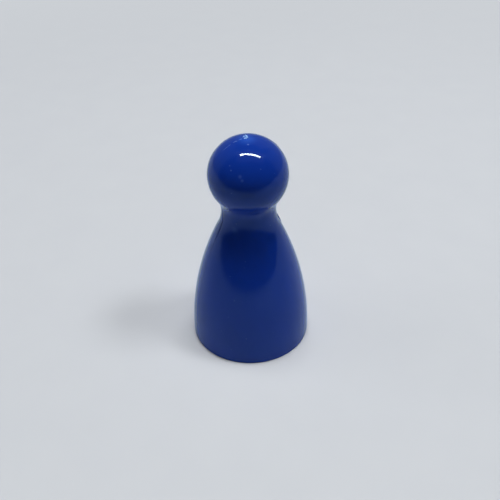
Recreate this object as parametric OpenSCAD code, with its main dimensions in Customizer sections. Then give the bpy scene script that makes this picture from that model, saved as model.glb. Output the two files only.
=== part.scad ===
// Halma pawn: a ball head on a waisted neck and a flared skirt. It is a hollow moulding in two
// like halves, bonded on an upright plane through the axis, with a plug that closes the foot.
// It stands on z = 0 with its axis on Z. The joint between the halves lies in the XZ plane.

/* [Outline] */
// Height from the foot to the top of the ball head
height = 24; // [22:0.5:30]
// Diameter of the skirt at the foot
foot_d = 13.2; // [11.5:0.1:16]
// Diameter of the ball head
head_d = 8.2; // [7.5:0.1:10]
// Diameter of the neck at its narrowest
neck_d = 5.7; // [4.8:0.1:6]
// Radius of the hollow curve between the head and the neck
chin_r = 2.6; // [1.5:0.1:4]
// Radius of the hollow curve between the neck and the skirt
shoulder_r = 4.4; // [2.5:0.1:6]
// Bevel on the bottom edge of the skirt
foot_bevel = 0.15; // [0.05:0.05:0.4]

/* [Walls] */
// Wall thickness of the two half shells
wall = 1.2; // [1:0.05:1.5]
// Diameter of the gate mark on the crown
gate_d = 0.8; // [0.4:0.1:1.2]
// Height of the gate mark above the crown
gate_h = 0.06; // [0.02:0.02:0.2]

/* [Locating pegs] */
// Diameter of a locating peg
peg_d = 1.1; // [0.8:0.1:1.4]
// Length of a locating peg past the joint
peg_h = 0.9; // [0.5:0.1:1.2]
// Wall of the boss round a socket
boss_wall = 0.5; // [0.4:0.05:0.7]
// Clearance round a peg, and at its tip, in its socket
peg_clearance = 0.04; // [0.02:0.01:0.1]
// Distance from the inside of the wall to a peg's axis
peg_inset = 0.95; // [0.8:0.05:1.2]
// Height of the foot pegs above the plug
foot_peg_rise = 1.6; // [1.4:0.1:4]

/* [Base plug] */
// Thickness of the plug
plug_t = 1.5; // [1:0.1:2.5]
// Depth of the plug's underside above the foot
plug_recess = 0.25; // [0.1:0.05:0.6]
// Width of the ledge that the plug seats against
ledge_w = 0.5; // [0.35:0.05:0.6]
// Clearance round the plug in its seat
plug_clearance = 0.03; // [0.01:0.01:0.1]
// Lead-in bevel on the plug's upper edge
plug_bevel = 0.15; // [0.05:0.05:0.25]
// Diameter of the gate dimple under the plug
dimple_d = 1.6; // [1:0.1:3]
// Depth of the gate dimple under the plug
dimple_h = 0.3; // [0.1:0.05:0.6]

/* [Hidden] */
$fn = 96;
pawn_blue = "#0d2f86";

// Radii, and the heights at which the curves of the outline are centred
foot_r = foot_d / 2;
head_r = head_d / 2;
neck_r = neck_d / 2;
head_z = height - head_r;
chin_x = neck_r + chin_r;
neck_z = head_z - sqrt(pow(head_r + chin_r, 2) - pow(chin_x, 2));
blend_bite = 0.001;

// The skirt is one arc, upright at the foot and tangent to the shoulder curve
shoulder_x = neck_r + shoulder_r;
skirt_r = (pow(foot_r - shoulder_x, 2) + pow(neck_z, 2) - pow(shoulder_r, 2)) / (2 * (foot_r - neck_r));
skirt_x = foot_r - skirt_r;

// Seat of the plug in the foot
seat_r = foot_r - wall + ledge_w;
plug_top = plug_recess + plug_t;

// Places of the pegs, as distance from the axis and height
boss_d = peg_d + 2 * (peg_clearance + boss_wall);
PEG_PLACES = [
    [head_r - wall - peg_inset, head_z],
    [foot_r - wall - peg_inset, plug_top + foot_peg_rise],
];

// Heights at which the head meets the chin curve, and the skirt the shoulder curve, inset by t
function chin_join(t) = head_z - (head_r - t) * (head_z - neck_z) / (head_r + chin_r);
function shoulder_join(t) = (skirt_r - t) * neck_z / (skirt_r + shoulder_r);

// A band of the outline's right side, from one height to another
module band(width, from_z, to_z) {
    translate([0, from_z]) square([width, to_z - from_z]);
}

// Right side of the pawn's outline, inset by t. The skirt and shoulder lie below the narrowest point
// of the neck, the chin and head above it. The hollow curves bite a hair into the skirt and the head,
// so that neighbouring arcs cross at one clean point.
module outline(t) {
    difference() {
        union() {
            intersection() {
                translate([skirt_x, 0]) circle(r = skirt_r - t);
                square([foot_d, neck_z]);
            }
            translate([0, neck_z]) mirror([0, 1]) square([shoulder_x, neck_z - shoulder_join(t)]);
        }
        translate([shoulder_x, neck_z]) circle(r = shoulder_r + t + blend_bite);
    }
    difference() {
        union() {
            intersection() {
                translate([0, head_z]) circle(r = head_r - t);
                translate([0, neck_z]) square([head_d, 2 * head_d]);
            }
            translate([0, neck_z]) square([chin_x, chin_join(t) - neck_z]);
        }
        translate([chin_x, neck_z]) circle(r = chin_r + t + blend_bite);
    }
}

// The hollow inside the shells: the inset outline above the plug, and the plug's seat below it
module hollow() {
    intersection() {
        outline(wall);
        band(foot_d, plug_top, height);
    }
    band(seat_r, 0, plug_top);
}

// Section of the shell wall, with the bevelled foot and the gate mark on the crown
module shell_section() {
    difference() {
        outline(0);
        hollow();
        polygon([[foot_r - foot_bevel, 0], [foot_d, 0], [foot_d, foot_bevel], [foot_r, foot_bevel]]);
    }
    band(gate_d / 2, height - wall / 2, height + gate_h);
}

// Bosses that carry the pegs and sockets, from the joint into the middle of the wall
module bosses() {
    intersection() {
        rotate_extrude(angle = 180) outline(wall / 2);
        for (place = PEG_PLACES, side = [-1, 1])
            translate([side * place.x, 0, place.y]) rotate([-90, 0, 0]) cylinder(d = boss_d, h = foot_d);
    }
}

// Half of the pawn on the +Y side of the joint, with pegs at +X and sockets at -X
module half_shell() {
    difference() {
        union() {
            rotate_extrude(angle = 180) shell_section();
            bosses();
        }
        for (place = PEG_PLACES)
            translate([-place.x, 0, place.y]) rotate([-90, 0, 0])
                cylinder(d = peg_d + 2 * peg_clearance, h = peg_h + peg_clearance);
    }
    for (place = PEG_PLACES)
        translate([place.x, 0, place.y]) rotate([90, 0, 0]) cylinder(d = peg_d, h = peg_h);
}

module front_half_shell() {
    color(pawn_blue) rotate([0, 0, 180]) half_shell();
}

module rear_half_shell() {
    color(pawn_blue) half_shell();
}

module base_plug() {
    plug_r = seat_r - plug_clearance;
    color(pawn_blue) difference() {
        rotate_extrude() polygon([
            [0, plug_recess],
            [plug_r, plug_recess],
            [plug_r, plug_top - plug_bevel],
            [plug_r - plug_bevel, plug_top],
            [0, plug_top],
        ]);
        translate([0, 0, plug_recess - dimple_h]) cylinder(d = dimple_d, h = 2 * dimple_h);
    }
}

front_half_shell();
rear_half_shell();
base_plug();
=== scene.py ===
"""Looks of a halma pawn: two bonded half shells of blue polystyrene, with a plug in the foot.

Meshes are drawn in millimetres about the pawn's axis, with the joint of the half shells in the XZ plane,
and become objects in metres. The studio is laid out as the camera sees it, with X to the right and Y away
from the camera, and is then turned about the pawn's axis.
"""

import logging
import math
from dataclasses import dataclass
from enum import Enum

import bmesh
import bpy
from mathutils import Matrix, Vector, noise


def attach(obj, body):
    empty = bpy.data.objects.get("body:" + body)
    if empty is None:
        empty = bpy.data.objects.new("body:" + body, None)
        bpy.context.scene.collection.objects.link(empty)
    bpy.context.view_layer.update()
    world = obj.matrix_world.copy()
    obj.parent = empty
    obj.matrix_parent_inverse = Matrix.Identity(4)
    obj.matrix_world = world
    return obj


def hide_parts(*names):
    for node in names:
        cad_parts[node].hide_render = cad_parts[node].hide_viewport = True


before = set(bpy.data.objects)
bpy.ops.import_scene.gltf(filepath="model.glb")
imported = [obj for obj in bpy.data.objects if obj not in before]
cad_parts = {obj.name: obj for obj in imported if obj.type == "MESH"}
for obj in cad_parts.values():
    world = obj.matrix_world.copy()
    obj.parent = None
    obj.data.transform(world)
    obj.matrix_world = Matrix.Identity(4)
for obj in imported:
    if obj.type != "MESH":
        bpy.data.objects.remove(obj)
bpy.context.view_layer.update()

MM = 0.001
BODY = "root"
BACKDROP = "#ced2d7"
SMOOTH_ANGLE = math.radians(30)
POLYSTYRENE_IOR = 1.59
# Distances in millimetres within which points are merged, and within which a cut snaps to a point.
MERGE = 2e-4
SNAP = 1e-5

log = logging.getLogger("halma_pawn")


class Side(Enum):
    """The two half shells, with the turn about the axis that puts each in place."""

    REAR = 0
    FRONT = 180


class JointEdge(Enum):
    """The upright edges of a half shell, each with its side of the axis before the half is turned."""

    SOCKETS = -1
    PEGS = 1


def linear(hex_colour: str) -> tuple[float, float, float, float]:
    """Turns an sRGB hex colour to linear RGBA.

    Args:
        hex_colour: the colour as "#rrggbb".

    Returns:
        Linear red, green and blue, and an alpha of 1.
    """
    channels = []
    for start in (1, 3, 5):
        value = int(hex_colour[start:start + 2], 16) / 255
        channels.append(value / 12.92 if value <= 0.04045 else ((value + 0.055) / 1.055) ** 2.4)
    return (*channels, 1.0)


def per_mm(size: float) -> float:
    """Texture scale that draws features of about this size in millimetres."""
    return 1 / (size * MM)


def add_node(tree: bpy.types.NodeTree, kind: str, inputs: dict[str | int, object] | None = None,
             **settings: object) -> bpy.types.Node:
    """Adds a node to a tree.

    Args:
        tree: the tree that gets the node.
        kind: Blender's name for the kind of node.
        inputs: sockets to link, or values to set, by the input's name or number.
        settings: the node's own properties.

    Returns:
        The new node.
    """
    node = tree.nodes.new(kind)
    for name, value in settings.items():
        setattr(node, name, value)
    for key, value in (inputs or {}).items():
        if isinstance(value, bpy.types.NodeSocket):
            tree.links.new(value, node.inputs[key])
        else:
            node.inputs[key].default_value = value
    return node


def new_material(name: str) -> tuple[bpy.types.Material, bpy.types.NodeTree]:
    """Makes an empty node material.

    Args:
        name: the material's name.

    Returns:
        The material and its node tree, without nodes.
    """
    material = bpy.data.materials.new(name)
    material.use_nodes = True
    material.node_tree.nodes.clear()
    return material, material.node_tree


def make_object(name: str, mesh: bmesh.types.BMesh, material: bpy.types.Material) -> bpy.types.Object:
    """Makes an object from a bmesh in millimetres, smooth apart from its sharp edges.

    Args:
        name: the object's name.
        mesh: the bmesh, which is freed.
        material: the finish on all its faces.

    Returns:
        The object, in metres, at the origin.
    """
    bmesh.ops.recalc_face_normals(mesh, faces=mesh.faces)
    mesh.transform(Matrix.Scale(MM, 4))
    data = bpy.data.meshes.new(name)
    mesh.to_mesh(data)
    mesh.free()
    data.materials.append(material)
    data.shade_smooth()
    data.set_sharp_from_angle(angle=SMOOTH_ANGLE)
    piece = bpy.data.objects.new(name, data)
    bpy.context.scene.collection.objects.link(piece)
    return piece


@dataclass(frozen=True)
class PawnSizes:
    """Sizes of the pawn in millimetres.

    All but the foot's rounding and the crown's drop are those of the CAD model.
    """

    height: float = 24.0
    foot_r: float = 6.6
    head_r: float = 4.1
    neck_r: float = 2.85
    chin_r: float = 2.6
    shoulder_r: float = 4.4
    foot_round: float = 0.05
    crown_drop: float = 0.1
    wall: float = 1.2
    seat_r: float = 5.9
    plug_recess: float = 0.25
    plug_top: float = 1.75

    @property
    def head_z(self) -> float:
        """Height of the ball head's centre."""
        return self.height - self.head_r

    @property
    def crown_flatness(self) -> float:
        """Height of the head's upper half, as a part of its radius."""
        return 1 - self.crown_drop / self.head_r

    @property
    def chin_x(self) -> float:
        """Distance of the chin curve's centre from the axis."""
        return self.neck_r + self.chin_r

    @property
    def neck_z(self) -> float:
        """Height of the neck's narrowest point."""
        return self.head_z - math.sqrt((self.head_r + self.chin_r) ** 2 - self.chin_x ** 2)

    @property
    def shoulder_x(self) -> float:
        """Distance of the shoulder curve's centre from the axis."""
        return self.neck_r + self.shoulder_r

    @property
    def skirt_r(self) -> float:
        """Radius of the skirt's arc, which is upright at the foot."""
        across = (self.foot_r - self.shoulder_x) ** 2
        return (across + self.neck_z ** 2 - self.shoulder_r ** 2) / (2 * (self.foot_r - self.neck_r))

    @property
    def skirt_x(self) -> float:
        """Distance of the skirt arc's centre from the axis."""
        return self.foot_r - self.skirt_r

    @property
    def chin_turn(self) -> float:
        """Turn of the chin curve, in degrees."""
        return math.degrees(math.asin((self.head_z - self.neck_z) / (self.head_r + self.chin_r)))

    @property
    def shoulder_turn(self) -> float:
        """Turn of the shoulder curve, in degrees."""
        return math.degrees(math.asin(self.neck_z / (self.skirt_r + self.shoulder_r)))


class SectionPen:
    """Draws a section in the XZ plane with bmesh operators, on from the last point."""

    def __init__(self, mesh: bmesh.types.BMesh, x: float, z: float) -> None:
        """Sets the pen down at a point."""
        self.mesh = mesh
        self.tip = mesh.verts.new((x, 0.0, z))

    def arc(self, x: float, z: float, degrees: float, steps: int) -> None:
        """Swings the pen about a centre.

        Args:
            x: the centre's distance from the axis.
            z: the centre's height.
            degrees: the turn, clockwise if positive.
            steps: the number of edges.
        """
        swung = bmesh.ops.spin(self.mesh, geom=[self.tip], cent=(x, 0, z), axis=(0, 1, 0),
                               angle=math.radians(degrees), steps=steps)
        self.tip = swung["geom_last"][0]

    def line(self, x: float, z: float) -> None:
        """Draws a straight edge to a point.

        Args:
            x: the point's distance from the axis.
            z: the point's height.
        """
        drawn = bmesh.ops.extrude_vert_indiv(self.mesh, verts=[self.tip])
        self.tip = drawn["verts"][0]
        self.tip.co = (x, 0.0, z)


@dataclass(frozen=True)
class Lip:
    """Stretch of a half's edge that stands proud of the other half, or is sunk if its height is negative.

    It runs up the pawn from low to high, and its width goes back from the joint, in millimetres.
    """

    edge: JointEdge
    low: float
    high: float
    height: float
    width: float = 0.35

    def rise(self, place: Vector) -> float:
        """Works out how far the lip lifts a point of the outer skin.

        Args:
            place: the point, before the half is turned.

        Returns:
            The lift in millimetres, which is 0 away from the lip.
        """
        if place.x * self.edge.value < 0 or not self.low < place.z < self.high:
            return 0.0
        along = math.sin(math.pi * (place.z - self.low) / (self.high - self.low))
        return self.height * along * math.exp(-(place.y / self.width) ** 2)


@dataclass
class HalfShell:
    """Half of the pawn, moulded hollow, with a fine groove where the two halves meet.

    Lengths are in millimetres.
    """

    name: str
    node: str
    side: Side
    sizes: PawnSizes
    lean: float = 0.0
    lips: tuple[Lip, ...] = ()
    groove: float = 0.03
    groove_depth: float = 0.03
    rim_break: float = 0.08
    turn_steps: int = 150
    head_steps: int = 110
    curve_steps: int = 36
    skirt_steps: int = 80
    foot_steps: int = 6
    inner_steps: int = 24

    def build(self, material: bpy.types.Material) -> bpy.types.Object:
        """Builds the half shell.

        Args:
            material: the finish of the moulding.

        Returns:
            The piece, riding on the pawn's body in place of its CAD node.
        """
        mesh = bmesh.new()
        self.draw_section(mesh)
        bmesh.ops.spin(mesh, geom=mesh.verts[:] + mesh.edges[:], cent=(0, 0, 0), axis=(0, 0, 1),
                       angle=math.pi, steps=self.turn_steps)
        bmesh.ops.remove_doubles(mesh, verts=mesh.verts, dist=MERGE)
        self.flatten_crown(mesh)
        self.cut_joint(mesh)
        mesh.transform(Matrix.Rotation(math.radians(self.side.value), 4, "Z"))
        self.lean_over(mesh)
        piece = make_object(self.name, mesh, material)
        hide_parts(self.node)
        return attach(piece, BODY)

    def draw_section(self, mesh: bmesh.types.BMesh) -> None:
        """Draws the wall's section, down the outside from the crown and up the inside.

        Args:
            mesh: the bmesh that gets the section.
        """
        s = self.sizes
        pen = SectionPen(mesh, 0.0, s.height)
        pen.arc(0.0, s.head_z, 90 + s.chin_turn, self.head_steps)
        pen.arc(s.chin_x, s.neck_z, -s.chin_turn, self.curve_steps)
        pen.arc(s.shoulder_x, s.neck_z, -s.shoulder_turn, self.curve_steps)
        foot_turn = math.degrees(math.asin(s.foot_round / s.skirt_r))
        pen.arc(s.skirt_x, 0.0, s.shoulder_turn - foot_turn, self.skirt_steps)
        pen.arc(pen.tip.co.x - s.foot_round, s.foot_round, 90, self.foot_steps)
        pen.line(s.seat_r + self.rim_break, 0.0)
        pen.line(s.seat_r, self.rim_break)
        pen.line(s.seat_r, s.plug_top)
        inner_r = s.skirt_r - s.wall
        ledge_turn = math.degrees(math.asin(s.plug_top / inner_r))
        pen.line(s.skirt_x + math.sqrt(inner_r ** 2 - s.plug_top ** 2), s.plug_top)
        pen.arc(s.skirt_x, 0.0, ledge_turn - s.shoulder_turn, self.inner_steps)
        pen.arc(s.shoulder_x, s.neck_z, s.shoulder_turn, self.inner_steps)
        pen.arc(s.chin_x, s.neck_z, s.chin_turn, self.inner_steps)
        pen.arc(0.0, s.head_z, -90 - s.chin_turn, 2 * self.inner_steps)

    def flatten_crown(self, mesh: bmesh.types.BMesh) -> None:
        """Flattens the upper half of the head, which shrank a little as it cooled.

        Args:
            mesh: the half turn of the section.
        """
        upper = [vert for vert in mesh.verts if vert.co.z > self.sizes.head_z]
        bmesh.ops.scale(mesh, vec=(1, 1, self.sizes.crown_flatness), verts=upper,
                        space=Matrix.Translation((0, 0, -self.sizes.head_z)))

    def cut_joint(self, mesh: bmesh.types.BMesh) -> None:
        """Cuts the half turn back from the joint, bevels its edges and closes it with a flat face.

        Args:
            mesh: the half turn of the section.
        """
        bmesh.ops.bisect_plane(mesh, geom=mesh.verts[:] + mesh.edges[:] + mesh.faces[:], dist=SNAP,
                               plane_co=(0, self.groove, 0), plane_no=(0, -1, 0), clear_outer=True)
        bmesh.ops.remove_doubles(mesh, verts=mesh.verts, dist=MERGE)
        bmesh.ops.recalc_face_normals(mesh, faces=mesh.faces)
        mesh.normal_update()
        self.raise_lips(mesh)
        rim = [edge for edge in mesh.edges if edge.is_boundary]
        drawn = bmesh.ops.extrude_edge_only(mesh, edges=rim)["geom"]
        inner = {item for item in drawn if isinstance(item, bmesh.types.BMVert)}
        for vert in inner:
            others = (edge.other_vert(vert) for edge in vert.link_edges)
            outer = next(other for other in others if other not in inner)
            outward = Vector((outer.normal.x, 0.0, outer.normal.z))
            vert.co = outer.co - self.groove_depth * outward
            vert.co.y = 0.0
        edges = [item for item in drawn if isinstance(item, bmesh.types.BMEdge)]
        bmesh.ops.edgeloop_fill(mesh, edges=edges)

    def raise_lips(self, mesh: bmesh.types.BMesh) -> None:
        """Moves the outer skin where this half stands proud or is sunk at the joint.

        Args:
            mesh: the half turn of the section, cut back and still open at the joint.
        """
        skin = [vert for vert in mesh.verts if vert.normal.x * vert.co.x > 0]
        for vert in skin:
            rise = sum(lip.rise(vert.co) for lip in self.lips)
            vert.co += rise * Vector((vert.normal.x, 0.0, vert.normal.z))

    def lean_over(self, mesh: bmesh.types.BMesh) -> None:
        """Shears the half towards +X, by `lean` millimetres at the crown.

        Args:
            mesh: the half, turned into its place.
        """
        shear = Matrix.Identity(4)
        shear[0][2] = self.lean / self.sizes.height
        mesh.transform(shear)


@dataclass
class BasePlug:
    """Disc pushed into the foot, with a gate dimple under it. Lengths are in millimetres."""

    name: str
    node: str
    sizes: PawnSizes
    clearance: float = 0.03
    bevel: float = 0.15
    edge: float = 0.1
    dimple_r: float = 0.8
    dimple_h: float = 0.3
    dimple_edge: float = 0.05
    edge_steps: int = 6
    dimple_edge_steps: int = 4
    turn_steps: int = 128

    def build(self, material: bpy.types.Material) -> bpy.types.Object:
        """Builds the plug.

        Args:
            material: the finish of the moulding.

        Returns:
            The piece, riding on the pawn's body in place of its CAD node.
        """
        s = self.sizes
        plug_r = s.seat_r - self.clearance
        low = s.plug_recess
        mesh = bmesh.new()
        pen = SectionPen(mesh, 0.0, low + self.dimple_h)
        pen.line(self.dimple_r - self.edge, low + self.dimple_h)
        pen.arc(self.dimple_r - self.edge, low + self.dimple_h - self.edge, 90, self.edge_steps)
        pen.line(self.dimple_r, low + self.dimple_edge)
        pen.arc(self.dimple_r + self.dimple_edge, low + self.dimple_edge, -90, self.dimple_edge_steps)
        pen.line(plug_r - self.edge, low)
        pen.arc(plug_r - self.edge, low + self.edge, -90, self.edge_steps)
        pen.line(plug_r, s.plug_top - self.bevel)
        pen.line(plug_r - self.bevel, s.plug_top)
        pen.line(0.0, s.plug_top)
        bmesh.ops.spin(mesh, geom=mesh.verts[:] + mesh.edges[:], cent=(0, 0, 0), axis=(0, 0, 1),
                       angle=math.tau, steps=self.turn_steps, use_merge=True)
        bmesh.ops.remove_doubles(mesh, verts=mesh.verts, dist=MERGE)
        piece = make_object(self.name, mesh, material)
        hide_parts(self.node)
        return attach(piece, BODY)


@dataclass(frozen=True)
class Shard:
    """A splinter of torn plastic on the crown, from one place to another, in millimetres."""

    start: tuple[float, float]
    end: tuple[float, float]
    width: float
    height: float


@dataclass
class GateScar:
    """Ragged star of shards on the crown, where the moulding was torn off its runner.

    Fractal noise makes a shard ragged: `lumps` is its scale on the shard, `spread` keeps the shards apart
    in it, and `fractal` holds its falloff, lacunarity and octaves.
    """

    name: str
    sizes: PawnSizes
    ragged: float = 0.5
    lumps: float = 3.2
    spread: float = 9.0
    fractal: tuple[float, float, int] = (0.8, 2.1, 4)
    subdivisions: int = 3
    shards: tuple[Shard, ...] = (
        Shard((0.01, -0.17), (-0.04, 0.46), 0.18, 0.15),
        Shard((-0.36, 0.22), (-0.10, 0.34), 0.15, 0.09),
        Shard((-0.37, -0.13), (-0.20, 0.01), 0.13, 0.06),
        Shard((-0.19, -0.23), (-0.10, 0.03), 0.13, 0.06),
    )

    def build(self, material: bpy.types.Material) -> bpy.types.Object:
        """Builds the shards.

        Args:
            material: the finish of torn plastic.

        Returns:
            The piece, riding on the pawn's body.
        """
        mesh = bmesh.new()
        for shard in self.shards:
            self.add_shard(mesh, shard)
        piece = make_object(self.name, mesh, material)
        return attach(piece, BODY)

    def add_shard(self, mesh: bmesh.types.BMesh, shard: Shard) -> None:
        """Adds a ragged shard that lies on the crown.

        Args:
            mesh: the bmesh that gets the shard.
            shard: its place and size.
        """
        start, end = Vector(shard.start), Vector(shard.end)
        drawn = bmesh.ops.create_icosphere(mesh, subdivisions=self.subdivisions, radius=0.5)["verts"]
        for vert in drawn:
            rough = noise.fractal(vert.co * self.lumps + start.to_3d() * self.spread, *self.fractal)
            vert.co *= 1 + self.ragged * rough
        middle, along = (start + end) / 2, end - start
        rise = math.sqrt(self.sizes.head_r ** 2 - middle.length_squared) * self.sizes.crown_flatness
        place = (Matrix.Translation((*middle, self.sizes.head_z + rise))
                 @ Matrix.Rotation(math.atan2(along.y, along.x), 4, "Z")
                 @ Matrix.Diagonal((along.length, shard.width, 2 * shard.height, 1.0)))
        bmesh.ops.transform(mesh, matrix=place, verts=drawn)


@dataclass(frozen=True)
class PaleSpot:
    """A pale spot: rubbed skin, and round the gate a hazy patch that is also painted light. Lengths are in
    millimetres.
    """

    centre: tuple[float, float, float]
    radius: float
    strength: float

    def draw(self, tree: bpy.types.NodeTree, place: bpy.types.NodeSocket) -> bpy.types.NodeSocket:
        """Adds the nodes that draw the spot.

        Args:
            tree: the finish's node tree.
            place: the socket that gives the place on the surface.

        Returns:
            A socket that falls from the spot's strength at its centre to 0 at its radius.
        """
        away = add_node(tree, "ShaderNodeVectorMath", {0: place, 1: Vector(self.centre) * MM},
                        operation="DISTANCE")
        spot = add_node(tree, "ShaderNodeMapRange", {
            "Value": away.outputs["Value"], "From Min": 0.0, "From Max": self.radius * MM,
            "To Min": self.strength, "To Max": 0.0}, interpolation_type="SMOOTHSTEP")
        return spot.outputs["Result"]


@dataclass(frozen=True)
class TrimmedFlash:
    """Dotted line of flash that was trimmed off the joint, on the crown to the left of the scar.

    Each pair is where a fade starts and ends: away from the joint, up the head, towards the scar, and
    from bare to torn in the noise. Lengths are in millimetres.
    """

    aside: tuple[float, float] = (0.04, 0.12)
    up: tuple[float, float] = (22.6, 23.3)
    across: tuple[float, float] = (-0.5, -0.2)
    fleck: float = 0.42
    torn: tuple[float, float] = (0.52, 0.66)
    strength: float = 0.36

    def draw(self, tree: bpy.types.NodeTree, place: bpy.types.NodeSocket) -> bpy.types.NodeSocket:
        """Adds the nodes that draw the line.

        Args:
            tree: the finish's node tree.
            place: the socket that gives the place on the surface.

        Returns:
            A socket that is above 0 on the flecks.
        """
        axes = add_node(tree, "ShaderNodeSeparateXYZ", {"Vector": place})
        aside = add_node(tree, "ShaderNodeMath", {0: axes.outputs["Y"]}, operation="ABSOLUTE")
        near = add_node(tree, "ShaderNodeMapRange", {
            "Value": aside.outputs["Value"], "From Min": self.aside[0] * MM,
            "From Max": self.aside[1] * MM, "To Min": 1.0, "To Max": 0.0}, interpolation_type="SMOOTHSTEP")
        high = add_node(tree, "ShaderNodeMapRange", {
            "Value": axes.outputs["Z"], "From Min": self.up[0] * MM, "From Max": self.up[1] * MM},
            interpolation_type="SMOOTHSTEP")
        left = add_node(tree, "ShaderNodeMapRange", {
            "Value": axes.outputs["X"], "From Min": self.across[0] * MM, "From Max": self.across[1] * MM,
            "To Min": 1.0, "To Max": 0.0})
        fleck = add_node(tree, "ShaderNodeTexNoise", {
            "Vector": place, "Scale": per_mm(self.fleck), "Detail": 2.0})
        torn = add_node(tree, "ShaderNodeMapRange", {
            "Value": fleck.outputs["Fac"], "From Min": self.torn[0], "From Max": self.torn[1],
            "To Max": self.strength})
        line = near.outputs["Result"]
        for part in (high, left, torn):
            line = add_node(tree, "ShaderNodeMath", {0: line, 1: part.outputs["Result"]},
                            operation="MULTIPLY").outputs["Value"]
        return line


@dataclass(frozen=True)
class Dust:
    """Sparse specks of dust, about a tenth of a millimetre wide.

    The spacing is in millimetres, and a speck's edge fades between two parts of it. `bare` is the share
    of the places that have no speck.
    """

    spacing: float = 0.7
    edge: tuple[float, float] = (0.03, 0.09)
    strength: float = 0.3
    bare: float = 0.85

    def draw(self, tree: bpy.types.NodeTree, place: bpy.types.NodeSocket) -> bpy.types.NodeSocket:
        """Adds the nodes that draw the specks.

        Args:
            tree: the finish's node tree.
            place: the socket that gives the place on the surface.

        Returns:
            A socket that is above 0 on the specks.
        """
        cells = add_node(tree, "ShaderNodeTexVoronoi", {"Vector": place, "Scale": per_mm(self.spacing)})
        speck = add_node(tree, "ShaderNodeMapRange", {
            "Value": cells.outputs["Distance"], "From Min": self.edge[0], "From Max": self.edge[1],
            "To Min": self.strength, "To Max": 0.0}, interpolation_type="SMOOTHSTEP")
        pick = add_node(tree, "ShaderNodeSeparateColor", {"Color": cells.outputs["Color"]})
        few = add_node(tree, "ShaderNodeMath", {0: pick.outputs["Red"], 1: self.bare},
                       operation="GREATER_THAN")
        return add_node(tree, "ShaderNodeMath", {0: speck.outputs["Result"], 1: few.outputs["Value"]},
                        operation="MULTIPLY").outputs["Value"]


@dataclass(frozen=True)
class Gloss:
    """Roughness of the skin: glassy, and duller at finger smudges, hairlines and rubs.

    A smudge's size, and a hairline's width and length, are in millimetres. Each edge is a pair of values
    of the noise between which the mark fades in.
    """

    clean: float = 0.015
    smudged: float = 0.05
    smudge: float = 2.2
    smudge_edge: tuple[float, float] = (0.42, 0.66)
    # Hairlines are drawn a tenth of a millimetre wide, coarser than real ones, so that they show.
    hairline: tuple[float, float] = (0.1, 5.0)
    hairline_turn: tuple[float, float, float] = (0.4, 0.9, 0.3)
    hairline_edge: tuple[float, float] = (0.68, 0.74)
    scratched: float = 0.05
    rubbed: float = 0.5

    def draw(self, tree: bpy.types.NodeTree, place: bpy.types.NodeSocket,
             worn: bpy.types.NodeSocket) -> bpy.types.NodeSocket:
        """Adds the nodes that draw the roughness.

        Args:
            tree: the finish's node tree.
            place: the socket that gives the place on the surface.
            worn: the socket that tells where the skin is rubbed.

        Returns:
            The socket of the roughness.
        """
        touch = add_node(tree, "ShaderNodeTexNoise", {
            "Vector": place, "Scale": per_mm(self.smudge), "Detail": 3.0})
        dulled = add_node(tree, "ShaderNodeMapRange", {
            "Value": touch.outputs["Fac"], "From Min": self.smudge_edge[0],
            "From Max": self.smudge_edge[1], "To Min": self.clean, "To Max": self.smudged})
        width, length = (per_mm(size) for size in self.hairline)
        combed = add_node(tree, "ShaderNodeMapping", {
            "Vector": place, "Rotation": self.hairline_turn, "Scale": (width, length, length)})
        streak = add_node(tree, "ShaderNodeTexNoise", {
            "Vector": combed.outputs["Vector"], "Scale": 1.0, "Detail": 0.0})
        hair = add_node(tree, "ShaderNodeMapRange", {
            "Value": streak.outputs["Fac"], "From Min": self.hairline_edge[0],
            "From Max": self.hairline_edge[1], "To Max": self.scratched})
        handled = add_node(tree, "ShaderNodeMath", {
            0: dulled.outputs["Result"], 1: hair.outputs["Result"]}, operation="ADD")
        return add_node(tree, "ShaderNodeMath", {0: worn, 1: self.rubbed, 2: handled.outputs["Value"]},
                        operation="MULTIPLY_ADD").outputs["Value"]


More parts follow.
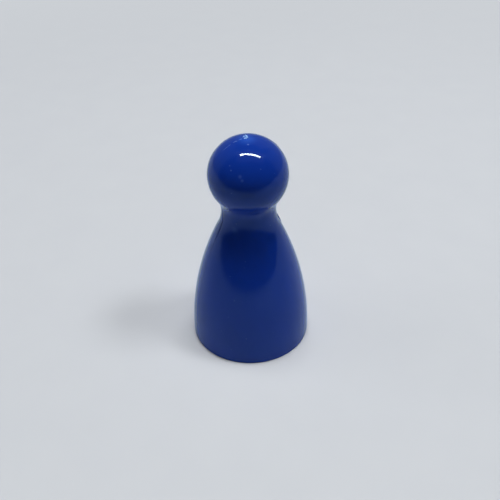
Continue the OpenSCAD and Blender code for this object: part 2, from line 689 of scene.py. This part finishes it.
@dataclass(frozen=True)
class MouldedPolystyrene:
    """Injection-moulded polystyrene from a polished tool: a deep, even blue under a glassy skin.

    Handling has left it with faint smudges, hairlines, dust and a few pale rubs. Lengths are in
    millimetres.
    """

    name: str = "injection_moulded_polystyrene"
    blue: str = "#0e3498"
    deep_blue: str = "#0d3090"
    # A paler blue round the gate: hazy plastic, and painted light that brightens the crown.
    hazed_and_lit_blue: str = "#3a7cf2"
    rubbed: str = "#7c9fe6"
    sheen: str = "#e7ffff"
    specular: float = 0.22
    cloud: float = 3.5
    peel: float = 0.3
    peel_depth: float = 0.0018
    gloss: Gloss = Gloss()
    flash: TrimmedFlash = TrimmedFlash()
    dust: Dust = Dust()
    # The spot of that paler blue, wide over the crown, is partly painted light.
    gate_haze_and_lit_crown: PaleSpot = PaleSpot((-0.15, -0.15, 23.90), 1.3, 0.24)
    scuffs: tuple[PaleSpot, ...] = (
        PaleSpot((-0.36, -1.10, 23.74), 0.14, 0.50),
        PaleSpot((-2.58, -2.24, 22.03), 0.12, 0.40),
        PaleSpot((-2.56, -1.90, 22.36), 0.10, 0.30),
        PaleSpot((-2.00, -3.03, 21.64), 0.28, 0.14),
        PaleSpot((-1.89, -3.25, 21.32), 0.24, 0.16),
        PaleSpot((-2.21, -1.78, 14.94), 0.55, 0.10),
        PaleSpot((-3.89, -4.07, 7.44), 0.10, 0.25),
        PaleSpot((-1.45, -6.02, 4.46), 0.10, 0.30),
        PaleSpot((-1.94, -3.66, 12.12), 0.10, 0.20),
    )

    def make(self) -> bpy.types.Material:
        """Makes the finish.

        Returns:
            The material.
        """
        material, tree = new_material(self.name)
        place = add_node(tree, "ShaderNodeTexCoord").outputs["Object"]
        worn = self.draw_wear(tree, place)
        # Orange peel: shallow waves in the skin that make the edge of a reflected lamp waver.
        peel = add_node(tree, "ShaderNodeTexNoise", {
            "Vector": place, "Scale": per_mm(self.peel), "Detail": 1.0})
        bump = add_node(tree, "ShaderNodeBump", {
            "Height": peel.outputs["Fac"], "Distance": self.peel_depth * MM, "Strength": 1.0})
        shader = add_node(tree, "ShaderNodeBsdfPrincipled", {
            "Base Color": self.draw_colour(tree, place, worn), "Normal": bump.outputs["Normal"],
            "Roughness": self.gloss.draw(tree, place, worn), "IOR": POLYSTYRENE_IOR,
            "Specular IOR Level": self.specular, "Specular Tint": linear(self.sheen)})
        add_node(tree, "ShaderNodeOutputMaterial", {"Surface": shader.outputs["BSDF"]})
        return material

    def draw_colour(self, tree: bpy.types.NodeTree, place: bpy.types.NodeSocket,
                    worn: bpy.types.NodeSocket) -> bpy.types.NodeSocket:
        """Draws the colour: clouded blue, paler where the skin is rubbed, and paler round the gate as hazy
        plastic and painted light.

        Args:
            tree: the finish's node tree.
            place: the socket that gives the place on the surface.
            worn: the socket that tells where the skin is rubbed.

        Returns:
            The socket of the colour.
        """
        # Pigment that flowed unevenly into the tool leaves faint clouds a few millimetres wide.
        cloud = add_node(tree, "ShaderNodeTexNoise", {
            "Vector": place, "Scale": per_mm(self.cloud), "Detail": 2.0})
        pigment = add_node(tree, "ShaderNodeMix", {
            "Factor": cloud.outputs["Fac"], "A": linear(self.blue), "B": linear(self.deep_blue)},
            data_type="RGBA")
        # Stress leaves the plastic round the scar pale and hazy; spread wide over the crown, this is also
        # painted light.
        paler_crown = add_node(tree, "ShaderNodeMix", {
            "Factor": self.gate_haze_and_lit_crown.draw(tree, place), "A": pigment.outputs["Result"],
            "B": linear(self.hazed_and_lit_blue)}, data_type="RGBA")
        return add_node(tree, "ShaderNodeMix", {
            "Factor": worn, "A": paler_crown.outputs["Result"], "B": linear(self.rubbed)},
            data_type="RGBA").outputs["Result"]

    def draw_wear(self, tree: bpy.types.NodeTree, place: bpy.types.NodeSocket) -> bpy.types.NodeSocket:
        """Draws where the skin is rubbed pale: at scuffs, along the seam and at dust.

        Args:
            tree: the finish's node tree.
            place: the socket that gives the place on the surface.

        Returns:
            A socket that is 0 on clean skin and higher the paler it is rubbed.
        """
        first, *others = (mark.draw(tree, place) for mark in (*self.scuffs, self.flash, self.dust))
        worn = first
        for mark in others:
            worn = add_node(tree, "ShaderNodeMath", {0: worn, 1: mark},
                            operation="MAXIMUM").outputs["Value"]
        return worn


@dataclass(frozen=True)
class TornPolystyrene:
    """Polystyrene where it was torn: crazed with stress, so that it scatters light and turns pale.

    The size of the crazes is in millimetres.
    """

    name: str = "stress_whitened_polystyrene"
    pale: str = "#b6dcff"
    blue: str = "#5397f0"
    roughness: float = 0.55
    craze: float = 0.18

    def make(self) -> bpy.types.Material:
        """Makes the finish.

        Returns:
            The material.
        """
        material, tree = new_material(self.name)
        place = add_node(tree, "ShaderNodeTexCoord").outputs["Object"]
        craze = add_node(tree, "ShaderNodeTexNoise", {
            "Vector": place, "Scale": per_mm(self.craze), "Detail": 3.0})
        colour = add_node(tree, "ShaderNodeMix", {
            "Factor": craze.outputs["Fac"], "A": linear(self.blue), "B": linear(self.pale)},
            data_type="RGBA")
        shader = add_node(tree, "ShaderNodeBsdfPrincipled", {
            "Base Color": colour.outputs["Result"], "Roughness": self.roughness, "IOR": POLYSTYRENE_IOR})
        add_node(tree, "ShaderNodeOutputMaterial", {"Surface": shader.outputs["BSDF"]})
        return material


@dataclass(frozen=True)
class MattePaper:
    """Matte drawing paper, faintly mottled where its fibres lie thicker.

    Far from the pawn, where the lamps don't reach, it fades into the backdrop. Lengths are in
    millimetres.
    """

    name: str = "matte_paper"
    pale: str = "#caced3"
    shade: str = "#c6cad0"
    backdrop: str = BACKDROP
    mottle: float = 6.0
    fade: tuple[float, float] = (50.0, 200.0)

    def make(self) -> bpy.types.Material:
        """Makes the finish.

        Returns:
            The material.
        """
        material, tree = new_material(self.name)
        place = add_node(tree, "ShaderNodeTexCoord").outputs["Object"]
        mottle = add_node(tree, "ShaderNodeTexNoise", {
            "Vector": place, "Scale": per_mm(self.mottle), "Detail": 4.0})
        sheet = add_node(tree, "ShaderNodeMix", {
            "Factor": mottle.outputs["Fac"], "A": linear(self.pale), "B": linear(self.shade)},
            data_type="RGBA")
        near = add_node(tree, "ShaderNodeBsdfDiffuse", {"Color": sheet.outputs["Result"]})
        far = add_node(tree, "ShaderNodeEmission", {"Color": linear(self.backdrop)})
        surface = add_node(tree, "ShaderNodeMixShader", {
            0: self.draw_fade(tree, place), 1: near.outputs["BSDF"], 2: far.outputs["Emission"]})
        add_node(tree, "ShaderNodeOutputMaterial", {"Surface": surface.outputs["Shader"]})
        material.cycles.emission_sampling = "NONE"
        return material

    def draw_fade(self, tree: bpy.types.NodeTree, place: bpy.types.NodeSocket) -> bpy.types.NodeSocket:
        """Draws where the paper is seen as backdrop. The pawn gets no light from there.

        Args:
            tree: the finish's node tree.
            place: the socket that gives the place on the paper.

        Returns:
            A socket that is 0 near the pawn and rises to 1 far from it.
        """
        away = add_node(tree, "ShaderNodeVectorMath", {0: place}, operation="LENGTH")
        far = add_node(tree, "ShaderNodeMapRange", {
            "Value": away.outputs["Value"], "From Min": self.fade[0] * MM, "From Max": self.fade[1] * MM},
            interpolation_type="SMOOTHSTEP")
        path = add_node(tree, "ShaderNodeLightPath")
        seen = path.outputs["Is Camera Ray"]
        for ray in ("Is Glossy Ray", "Is Transmission Ray"):
            seen = add_node(tree, "ShaderNodeMath", {0: seen, 1: path.outputs[ray]},
                            operation="MAXIMUM").outputs["Value"]
        return add_node(tree, "ShaderNodeMath", {0: far.outputs["Result"], 1: seen},
                        operation="MULTIPLY").outputs["Value"]


@dataclass(frozen=True)
class TentCloth:
    """Lit cloth of a light tent: pale at the sides and back, dimmer high at the back, dark in front.

    Edges are given along directions from the pawn, as parts of the tent's radius.
    """

    name: str = "tent_cloth"
    pale: str = "#798997"
    dim: str = "#59696f"
    dark: str = "#373f42"
    front_edge: tuple[float, float] = (-0.05, 0.05)
    dim_centre: tuple[float, float, float] = (0.15, 0.50, 0.85)
    dim_edge: tuple[float, float] = (0.80, 0.90)

    def make(self, radius: float) -> bpy.types.Material:
        """Makes the finish.

        Args:
            radius: the tent's radius in metres.

        Returns:
            The material.
        """
        material, tree = new_material(self.name)
        place = add_node(tree, "ShaderNodeTexCoord").outputs["Object"]
        ray = add_node(tree, "ShaderNodeVectorMath", {0: place, "Scale": 1 / radius}, operation="SCALE")
        towards = add_node(tree, "ShaderNodeVectorMath", {0: ray.outputs["Vector"], 1: self.dim_centre},
                           operation="DOT_PRODUCT")
        high = add_node(tree, "ShaderNodeMapRange", {
            "Value": towards.outputs["Value"], "From Min": self.dim_edge[0],
            "From Max": self.dim_edge[1]}, interpolation_type="SMOOTHSTEP")
        back = add_node(tree, "ShaderNodeMix", {
            "Factor": high.outputs["Result"], "A": linear(self.pale), "B": linear(self.dim)},
            data_type="RGBA")
        axes = add_node(tree, "ShaderNodeSeparateXYZ", {"Vector": ray.outputs["Vector"]})
        behind = add_node(tree, "ShaderNodeMapRange", {
            "Value": axes.outputs["Y"], "From Min": self.front_edge[0], "From Max": self.front_edge[1]},
            interpolation_type="SMOOTHSTEP")
        colour = add_node(tree, "ShaderNodeMix", {
            "Factor": behind.outputs["Result"], "A": linear(self.dark), "B": back.outputs["Result"]},
            data_type="RGBA")
        glow = add_node(tree, "ShaderNodeEmission", {"Color": colour.outputs["Result"]})
        add_node(tree, "ShaderNodeOutputMaterial", {"Surface": glow.outputs["Emission"]})
        return material


@dataclass(frozen=True)
class FlagCloth:
    """Dun sheet that the pawn mirrors as painted shade; it fades out to nothing along its lower edge.
    Heights are in millimetres.
    """

    name: str = "dun_painted_shade_flag"
    dun: str = "#656138"
    shade_fade: tuple[float, float] = (0.7, 6.8)

    def make(self) -> bpy.types.Material:
        """Makes the finish.

        Returns:
            The material.
        """
        material, tree = new_material(self.name)
        place = add_node(tree, "ShaderNodeTexCoord").outputs["Object"]
        height = add_node(tree, "ShaderNodeSeparateXYZ", {"Vector": place}).outputs["Z"]
        # The sheet fades in above its lower edge, so that the mirrored painted shade has a soft edge.
        opacity = add_node(tree, "ShaderNodeMapRange", {
            "Value": height, "From Min": self.shade_fade[0] * MM, "From Max": self.shade_fade[1] * MM},
            interpolation_type="SMOOTHSTEP")
        cloth = add_node(tree, "ShaderNodeBsdfDiffuse", {"Color": linear(self.dun)})
        gap = add_node(tree, "ShaderNodeBsdfTransparent")
        mixed = add_node(tree, "ShaderNodeMixShader", {
            0: opacity.outputs["Result"], 1: gap.outputs["BSDF"], 2: cloth.outputs["BSDF"]})
        add_node(tree, "ShaderNodeOutputMaterial", {"Surface": mixed.outputs["Shader"]})
        return material


@dataclass(frozen=True)
class GelFilm:
    """Clear film with a breath of cyan, which cools what the pawn mirrors of the paper."""

    name: str = "cyan_gel_film"
    cyan: str = "#deefff"

    def make(self) -> bpy.types.Material:
        """Makes the finish.

        Returns:
            The material.
        """
        material, tree = new_material(self.name)
        film = add_node(tree, "ShaderNodeBsdfTransparent", {"Color": linear(self.cyan)})
        add_node(tree, "ShaderNodeOutputMaterial", {"Surface": film.outputs["BSDF"]})
        return material


@dataclass(frozen=True)
class PhotoCamera:
    """Camera at the photograph's viewing angle. Lengths are in millimetres and angles in degrees."""

    azimuth: float = -22.0
    elevation: float = 36.26
    roll: float = -1.10
    distance: float = 68.27
    target_z: float = 10.553
    aside: float = 0.0676
    lens: float = 45.46
    sensor: float = 36.0
    near: float = 1.0

    def build(self) -> bpy.types.Object:
        """Makes the camera and gives it to the scene.

        Returns:
            The camera.
        """
        data = bpy.data.cameras.new("photo_camera")
        data.lens = self.lens
        data.sensor_width = self.sensor
        data.clip_start = self.near * MM
        camera = bpy.data.objects.new("photo_camera", data)
        aim = (Matrix.Rotation(math.radians(self.azimuth), 4, "Z")
               @ Matrix.Rotation(math.radians(90 - self.elevation), 4, "X")
               @ Matrix.Rotation(math.radians(self.roll), 4, "Z"))
        back = Matrix.Translation((self.aside * MM, 0, self.distance * MM))
        camera.matrix_world = Matrix.Translation((0, 0, self.target_z * MM)) @ aim @ back
        bpy.context.scene.collection.objects.link(camera)
        bpy.context.scene.camera = camera
        return camera


class LampUse(Enum):
    """What a lamp does: it shows in reflections, or it gives light."""

    MIRRORED = "mirrored"
    LIGHTING = "lighting"


@dataclass(frozen=True)
class Lamp:
    """Rectangular lamp that faces a point. Lengths are in metres, power in watts, roll in degrees."""

    name: str
    use: LampUse
    centre: tuple[float, float, float]
    aim: tuple[float, float, float]
    length: float
    width: float
    power: float
    roll: float = 0.0

    def build(self, turn: Matrix) -> bpy.types.Object:
        """Makes the lamp.

        Args:
            turn: turns the camera's view into the pawn's frame.

        Returns:
            The lamp.
        """
        data = bpy.data.lights.new(self.name, "AREA")
        data.shape = "RECTANGLE"
        data.size = self.length
        data.size_y = self.width
        data.energy = self.power
        lamp = bpy.data.objects.new(self.name, data)
        facing = (Vector(self.centre) - Vector(self.aim)).to_track_quat("Z", "Y").to_matrix().to_4x4()
        lamp.matrix_world = (turn @ Matrix.Translation(self.centre) @ facing
                             @ Matrix.Rotation(math.radians(self.roll), 4, "Z"))
        lamp.visible_camera = False
        lamp.visible_glossy = self.use is LampUse.MIRRORED
        lamp.visible_diffuse = self.use is LampUse.LIGHTING
        bpy.context.scene.collection.objects.link(lamp)
        return lamp


@dataclass
class Studio:
    """Pale paper in a light tent under a long strip lamp, with a dark flag low in front of the pawn.

    Lengths are in metres, with X to the right of the camera's view and Y away from it. Angles are in
    degrees.
    """

    azimuth: float
    paper: MattePaper = MattePaper()
    tent: TentCloth = TentCloth()
    flag: FlagCloth = FlagCloth()
    gel: GelFilm = GelFilm()
    paper_half: float = 1.2
    tent_r: float = 0.7
    tent_segments: tuple[int, int] = (64, 32)
    flag_y: float = -0.046
    flag_half: float = 0.3
    flag_h: float = 0.03
    flag_turn: float = -6.0
    gel_z: float = 0.0001
    backdrop: str = BACKDROP
    lamps: tuple[Lamp, ...] = (
        Lamp("strip_lamp", LampUse.MIRRORED, centre=(0.050, -0.016, 0.374), aim=(0.050, -0.016, 0.0),
             length=0.325, width=0.028, power=2.3, roll=-3.2),
        Lamp("roof_panel", LampUse.MIRRORED, centre=(0.07, -0.04, 0.374), aim=(0.07, -0.04, 0.0),
             length=0.49, width=0.22, power=0.068),
        Lamp("back_panel", LampUse.MIRRORED, centre=(0.123, 0.338, 0.347), aim=(0.0, 0.0, 0.02),
             length=0.36, width=0.25, power=0.040),
        Lamp("strip_light", LampUse.LIGHTING, centre=(0.02, -0.024, 0.374), aim=(0.02, -0.024, 0.0),
             length=0.300, width=0.026, power=0.05, roll=-5.0),
        Lamp("ceiling_light", LampUse.LIGHTING, centre=(0.012, 0.045, 0.50), aim=(0.0, 0.0, 0.01),
             length=0.20, width=0.12, power=2.03),
        Lamp("right_light", LampUse.LIGHTING, centre=(0.23, -0.025, 0.374), aim=(0.0, 0.0, 0.01),
             length=0.10, width=0.08, power=0.52),
        Lamp("left_light", LampUse.LIGHTING, centre=(-0.40, 0.05, 0.24), aim=(0.0, 0.0, 0.01),
             length=0.30, width=0.30, power=0.28),
    )

    @property
    def turn(self) -> Matrix:
        """Turn from the camera's view to the pawn's frame."""
        return Matrix.Rotation(math.radians(self.azimuth), 4, "Z")

    def build(self) -> None:
        """Builds the paper with the gel over it, the tent, the flag, the lamps and the backdrop."""
        self.build_paper()
        self.build_gel()
        self.build_tent()
        self.build_flag()
        for lamp in self.lamps:
            lamp.build(self.turn)
        self.build_backdrop()

    def build_backdrop(self) -> None:
        """Sets the pale backdrop past the edge of the paper."""
        world = bpy.data.worlds.new("pale_backdrop")
        bpy.context.scene.world = world
        world.use_nodes = True
        tree = world.node_tree
        tree.nodes.clear()
        light = add_node(tree, "ShaderNodeBackground", {"Color": linear(self.backdrop)})
        add_node(tree, "ShaderNodeOutputWorld", {"Surface": light.outputs["Background"]})
        world.cycles_visibility.diffuse = False

    def build_paper(self) -> None:
        """Lays the paper that the pawn stands on."""
        mesh = bmesh.new()
        bmesh.ops.create_grid(mesh, x_segments=1, y_segments=1, size=self.paper_half)
        self.add_stage("paper_floor", mesh, self.paper.make())

    def build_gel(self) -> None:
        """Lays the gel over the paper. It shows in reflections alone, and colours no light."""
        mesh = bmesh.new()
        bmesh.ops.create_grid(mesh, x_segments=1, y_segments=1, size=self.paper_half)
        bmesh.ops.translate(mesh, vec=(0, 0, self.gel_z), verts=mesh.verts)
        gel = self.add_stage("gel_sheet", mesh, self.gel.make())
        gel.visible_camera = False
        gel.visible_diffuse = False
        gel.visible_shadow = False

    def build_tent(self) -> None:
        """Pitches the tent, which shows in reflections alone. The camera looks through it."""
        mesh = bmesh.new()
        around, upright = self.tent_segments
        bmesh.ops.create_uvsphere(mesh, u_segments=around, v_segments=upright, radius=self.tent_r)
        bmesh.ops.bisect_plane(mesh, geom=mesh.verts[:] + mesh.edges[:] + mesh.faces[:], dist=SNAP * MM,
                               plane_co=(0, 0, 0), plane_no=(0, 0, -1), clear_outer=True)
        tent = self.add_stage("light_tent", mesh, self.tent.make(self.tent_r))
        tent.visible_camera = False
        tent.visible_diffuse = False

    def build_flag(self) -> None:
        """Hangs the flag that the front of the pawn mirrors as painted shade. The camera looks through it.
        """
        mesh = bmesh.new()
        bmesh.ops.create_grid(mesh, x_segments=1, y_segments=1, size=0.5)
        mesh.transform(Matrix.Translation((0, self.flag_y, self.flag_h / 2))
                       @ Matrix.Rotation(math.radians(self.flag_turn), 4, "Z")
                       @ Matrix.Diagonal((2 * self.flag_half, 1, self.flag_h, 1))
                       @ Matrix.Rotation(math.radians(90), 4, "X"))
        flag = self.add_stage("dark_flag", mesh, self.flag.make())
        flag.visible_camera = False
        flag.visible_shadow = False

    def add_stage(self, name: str, mesh: bmesh.types.BMesh,
                  material: bpy.types.Material) -> bpy.types.Object:
        """Adds a stage object.

        Args:
            name: the object's name.
            mesh: its bmesh in metres, which is freed.
            material: its finish.

        Returns:
            The object, turned to face the camera.
        """
        data = bpy.data.meshes.new(name)
        mesh.to_mesh(data)
        mesh.free()
        data.materials.append(material)
        data.shade_smooth()
        thing = bpy.data.objects.new(name, data)
        thing.matrix_world = self.turn
        bpy.context.scene.collection.objects.link(thing)
        return thing


def main() -> None:
    """Builds the pawn's pieces, the studio and the camera."""
    logging.basicConfig(level=logging.INFO, format="%(name)s: %(message)s")
    bpy.context.scene.view_settings.view_transform = "Standard"
    sizes = PawnSizes()
    proud = (Lip(JointEdge.SOCKETS, low=11.6, high=18.0, height=0.02, width=1.2),
             Lip(JointEdge.PEGS, low=12.8, high=15.3, height=0.115))
    sunk = (Lip(JointEdge.PEGS, low=11.6, high=18.0, height=-0.04, width=0.12),)
    moulded = MouldedPolystyrene().make()
    torn = TornPolystyrene().make()
    builders = [
        (HalfShell("front_half_moulding", "front_half_shell", Side.FRONT, sizes, lips=sunk), moulded),
        (HalfShell("rear_half_moulding", "rear_half_shell", Side.REAR, sizes, lean=0.02, lips=proud),
         moulded),
        (BasePlug("foot_plug_moulding", "base_plug", sizes), moulded),
        (GateScar("gate_scar", sizes), torn),
    ]
    for builder, material in builders:
        piece = builder.build(material)
        log.info("%s: %d faces", piece.name, len(piece.data.polygons))
    camera = PhotoCamera()
    camera.build()
    Studio(camera.azimuth).build()


if __name__ == "__main__":
    main()
